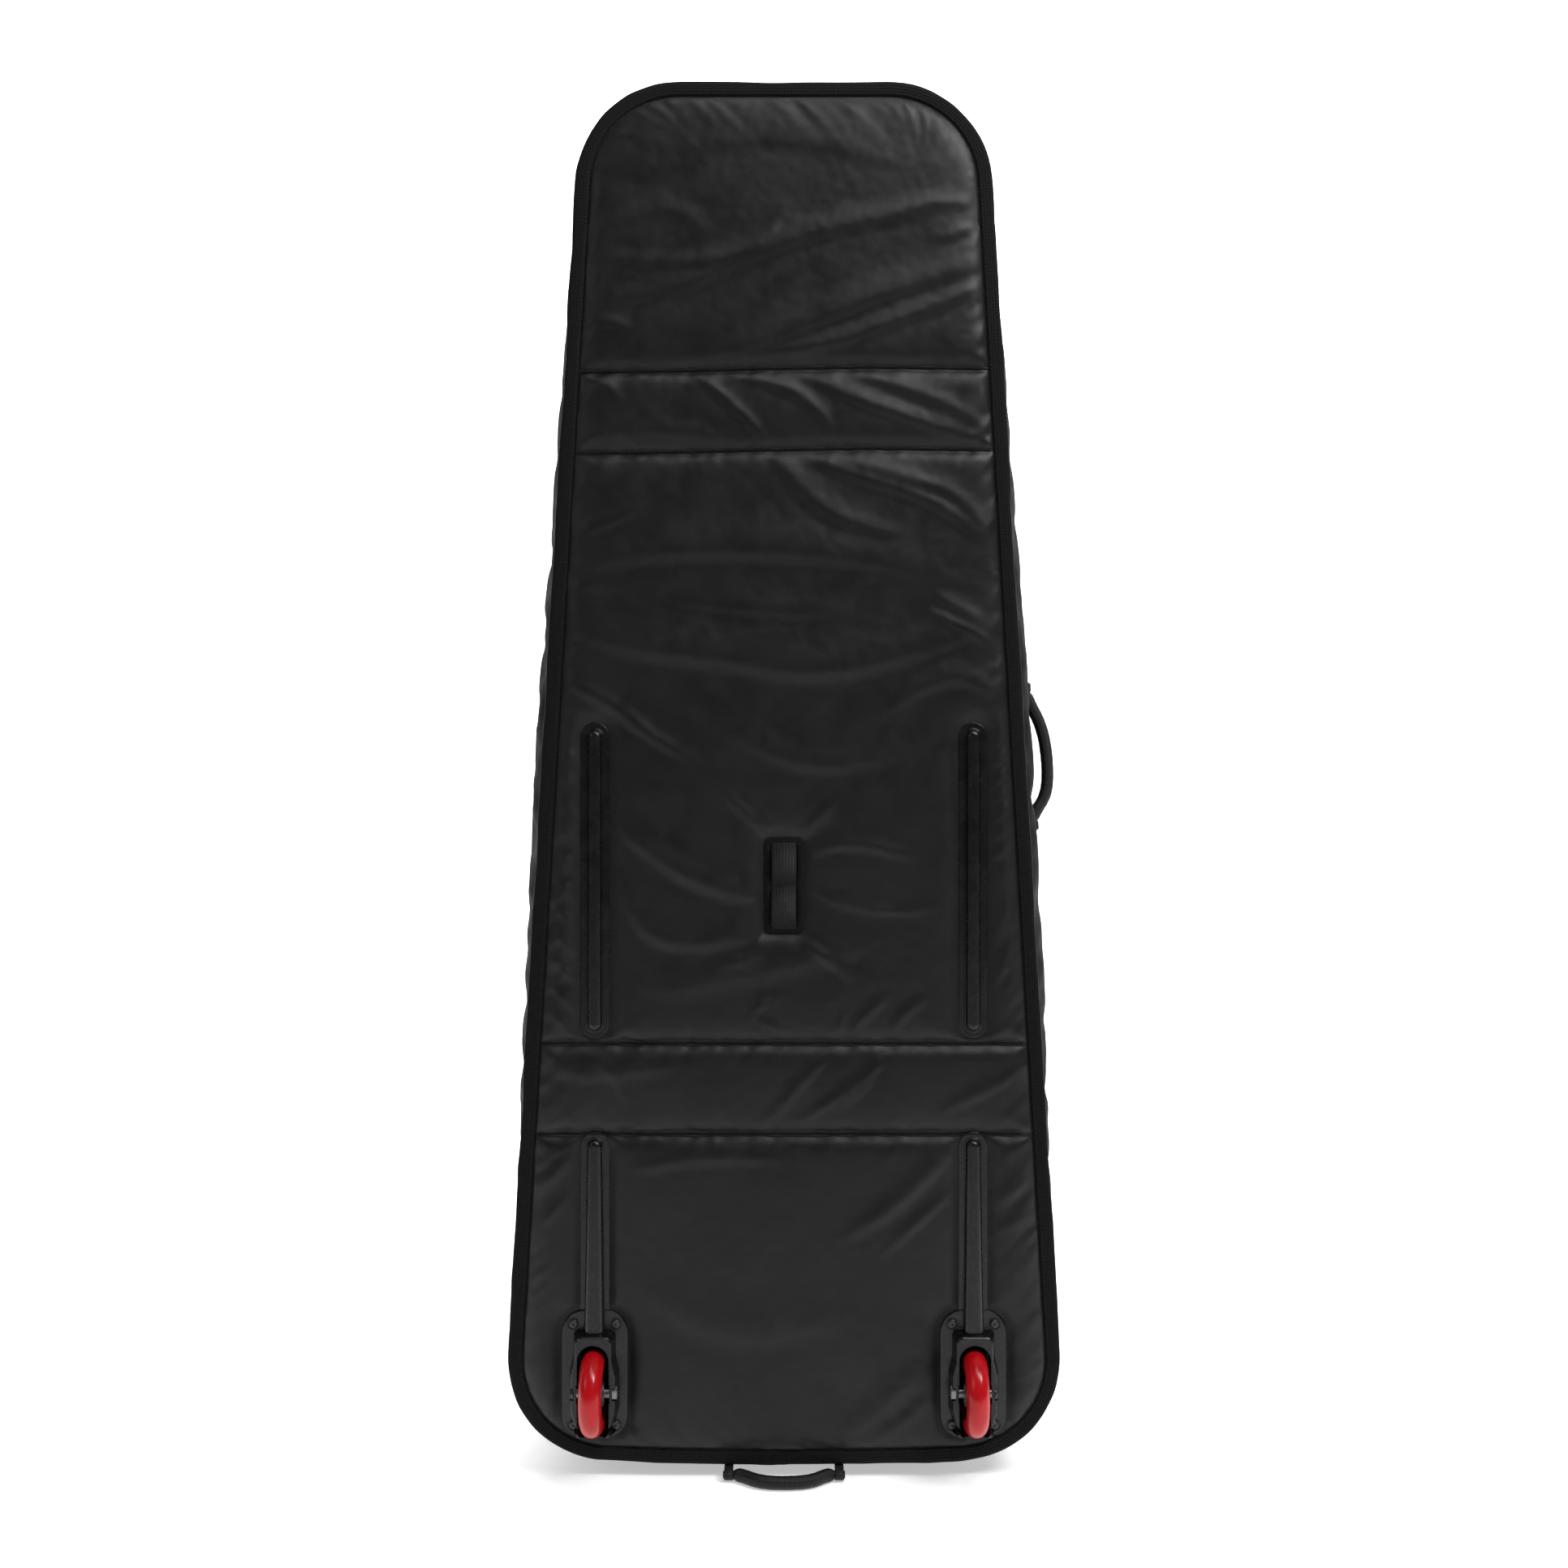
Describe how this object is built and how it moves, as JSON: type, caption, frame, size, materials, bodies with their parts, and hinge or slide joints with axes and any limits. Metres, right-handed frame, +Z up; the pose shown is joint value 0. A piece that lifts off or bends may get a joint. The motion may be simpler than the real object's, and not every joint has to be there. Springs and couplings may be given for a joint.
{
  "type": "snowboard bag",
  "caption": "Wheeled padded snowboard bag standing on its tail, with skid rails, grab handles, storage loops and a zip-round lid that opens on one long side.",
  "frame": {"origin": "centre of the base pad's underside, on the ground, midway between the front and back panels", "axes": "+Z up along the bag from tail to nose; -Y the back panel's side, with the wheels and rails; +Y the side that opens; +X the side with the carry handle"},
  "size_m": [0.6015, 0.2635, 1.5086],
  "materials": {
    "outer_fabric": "satin",
    "binding_tape": "matte",
    "webbing": "matte",
    "lining": "matte",
    "padding": "matte",
    "board_plastic": "matte",
    "rail_plastic": "satin",
    "housing_plastic": "satin",
    "fastener_steel": "satin",
    "bearing_steel": "polished",
    "plate_aluminium": "satin",
    "tyre_urethane": "gloss",
    "core_plastic": "satin",
    "zip_coil": "satin",
    "zip_metal": "satin"
  },
  "bodies": {
    "shell": {"back_fabric": "outer_fabric", "back_binding": "binding_tape", "stiffener_boards": "board_plastic", "back_foam": "padding", "back_lining": "lining", "tail_gusset": "outer_fabric", "nose_gusset": "outer_fabric", "left_gusset": "outer_fabric", "right_gusset": "outer_fabric", "tail_bumper": "outer_fabric", "zip_track_shell": "zip_coil", "rail_screws": "fastener_steel", "storage_patch": "outer_fabric", "storage_patch_trim": "binding_tape", "storage_loops": "webbing", "side_handle_tabs": "webbing", "tail_handle_tabs": "webbing", "nose_handle_tabs": "webbing", "upper_rail_left": "rail_plastic", "upper_rail_right": "rail_plastic", "lower_rail_left": "rail_plastic", "lower_rail_right": "rail_plastic", "wheel_housing_left": "housing_plastic", "wheel_housing_right": "housing_plastic", "housing_screws_left": "fastener_steel", "housing_screws_right": "fastener_steel", "backing_plate_left": "plate_aluminium", "backing_plate_right": "plate_aluminium", "housing_nuts_left": "fastener_steel", "housing_nuts_right": "fastener_steel", "bearing_inner_races_left": "bearing_steel", "bearing_inner_races_right": "bearing_steel", "axle_spacers_left": "bearing_steel", "axle_spacers_right": "bearing_steel", "axle_bolt_left": "fastener_steel", "axle_bolt_right": "fastener_steel", "axle_nut_left": "fastener_steel", "axle_nut_right": "fastener_steel"},
    "lid": {"zip_track_lid": "zip_coil", "tail_lid_wall": "outer_fabric", "nose_lid_wall": "outer_fabric", "left_lid_wall": "outer_fabric", "right_lid_wall": "outer_fabric", "front_fabric": "outer_fabric", "front_foam": "padding", "front_lining": "lining", "front_binding": "binding_tape"},
    "wheel_left": {"wheel_tyre_left": "tyre_urethane", "wheel_core_left": "core_plastic", "wheel_bearings_left": "bearing_steel"},
    "wheel_right": {"wheel_tyre_right": "tyre_urethane", "wheel_core_right": "core_plastic", "wheel_bearings_right": "bearing_steel"},
    "side_handle_grip": {"side_handle": "webbing"},
    "tail_handle_grip": {"tail_handle": "webbing"},
    "nose_handle_grip": {"nose_handle": "webbing"},
    "slider_upper": {"zip_slider_upper": "zip_metal"},
    "pull_upper": {"zip_pull_upper": "zip_metal"},
    "slider_lower": {"zip_slider_lower": "zip_metal"},
    "pull_lower": {"zip_pull_lower": "zip_metal"}
  },
  "joints": [
    {"name": "wheel_left_spin", "type": "hinge", "parent": "shell", "child": "wheel_left", "pos_m": [-0.2025, -0.117, 0.0971], "axis": [1, 0, 0], "continuous": true},
    {"name": "wheel_right_spin", "type": "hinge", "parent": "shell", "child": "wheel_right", "pos_m": [0.2025, -0.117, 0.0971], "axis": [1, 0, 0], "continuous": true},
    {"name": "lid_open", "type": "hinge", "parent": "shell", "child": "lid", "pos_m": [-0.26059, 0.07, 0.7536], "axis": [0.0572, 0, 0.9984], "range_deg": [0, 150]},
    {"name": "slider_upper_slide", "type": "slide", "parent": "shell", "child": "slider_upper", "axis": [-0.0572, 0, 0.9984], "range_m": [0, 0.754]},
    {"name": "slider_lower_slide", "type": "slide", "parent": "shell", "child": "slider_lower", "axis": [-0.0572, 0, 0.9984], "range_m": [-0.425, 0]},
    {"name": "pull_upper_flip", "type": "hinge", "parent": "slider_upper", "child": "pull_upper", "pos_m": [0.27315, 0.07, 0.62189], "axis": [0, -1, 0], "range_deg": [0, 170]},
    {"name": "pull_lower_flip", "type": "hinge", "parent": "slider_lower", "child": "pull_lower", "pos_m": [0.2759, 0.07, 0.57389], "axis": [0, -1, 0], "range_deg": [0, 170]},
    {"name": "side_handle_swing", "type": "hinge", "parent": "shell", "child": "side_handle_grip", "pos_m": [0.27848, 0, 0.77469], "axis": [-0.0572, 0, 0.9984], "range_deg": [-60, 60]},
    {"name": "tail_handle_swing", "type": "hinge", "parent": "shell", "child": "tail_handle_grip", "pos_m": [0, -0.1095, 0.0073], "axis": [-1, 0, 0], "range_deg": [0, 90]},
    {"name": "nose_handle_swing", "type": "hinge", "parent": "shell", "child": "nose_handle_grip", "pos_m": [0, -0.018, 1.5016], "axis": [1, 0, 0], "range_deg": [0, 170]}
  ]
}
